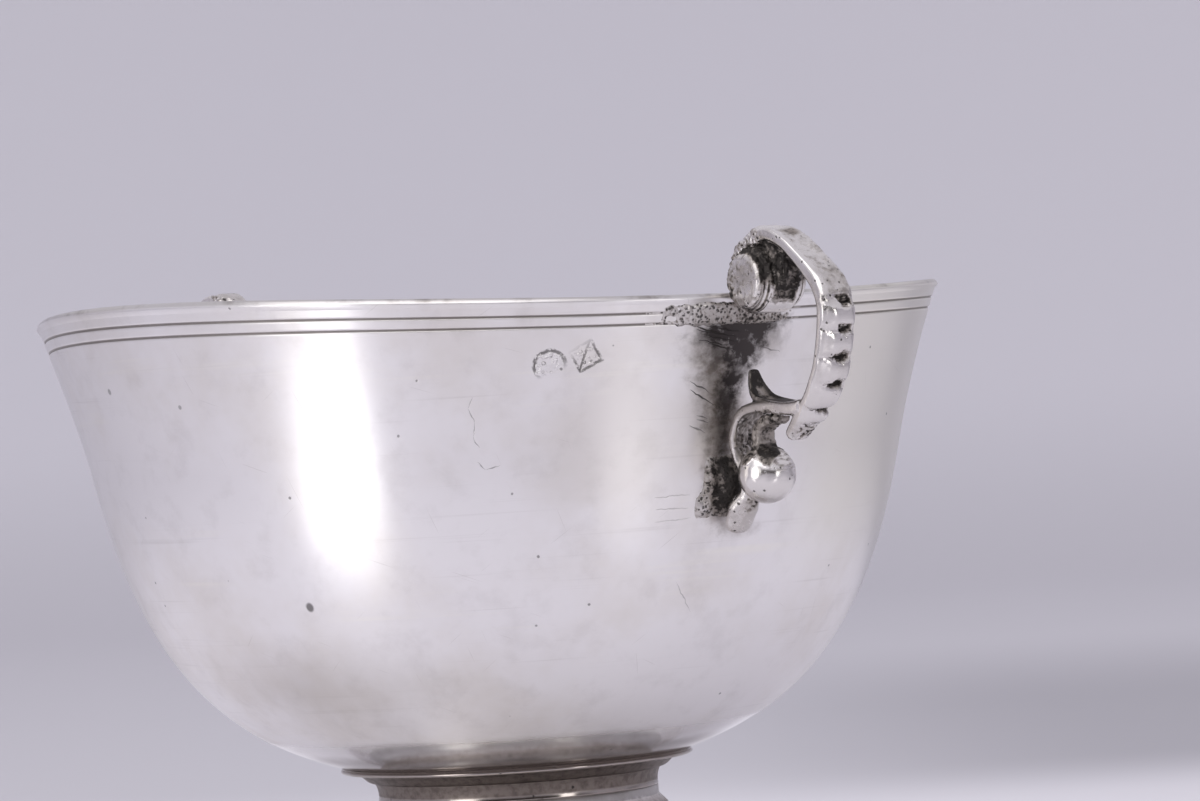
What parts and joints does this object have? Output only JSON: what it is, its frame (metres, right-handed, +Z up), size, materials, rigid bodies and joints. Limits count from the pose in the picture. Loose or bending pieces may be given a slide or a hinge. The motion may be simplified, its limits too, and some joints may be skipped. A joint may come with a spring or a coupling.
{
  "type": "two-handled drinking cup",
  "caption": "Silver drinking cup: a round-bottomed bowl with a flared, line-cut rim on a low spool foot, with cast scroll handles soldered at either side.",
  "frame": {"origin": "on the table, under the middle of the foot", "axes": "+Z up out of the bowl, +X from the foot's middle towards one handle, the handles at either end of the X axis"},
  "size_m": [0.1464, 0.1124, 0.0884],
  "materials": {
    "silver": "hammered and softly polished silver, worn, with fine turning lines and scratches",
    "cast_silver": "cast silver, shiny on the high places with black tarnish in the hollows and pits",
    "solder": "dull, pitted silver solder, grey-brown"
  },
  "bodies": {
    "root": {"bowl": "silver", "collar": "silver", "neck_ring": "silver", "foot": "silver", "base_ring": "silver", "handle_right": "cast_silver", "handle_left": "cast_silver", "upper_solder_right": "solder", "upper_solder_left": "solder", "lower_solder_right": "solder", "lower_solder_left": "solder"}
  },
  "joints": []
}
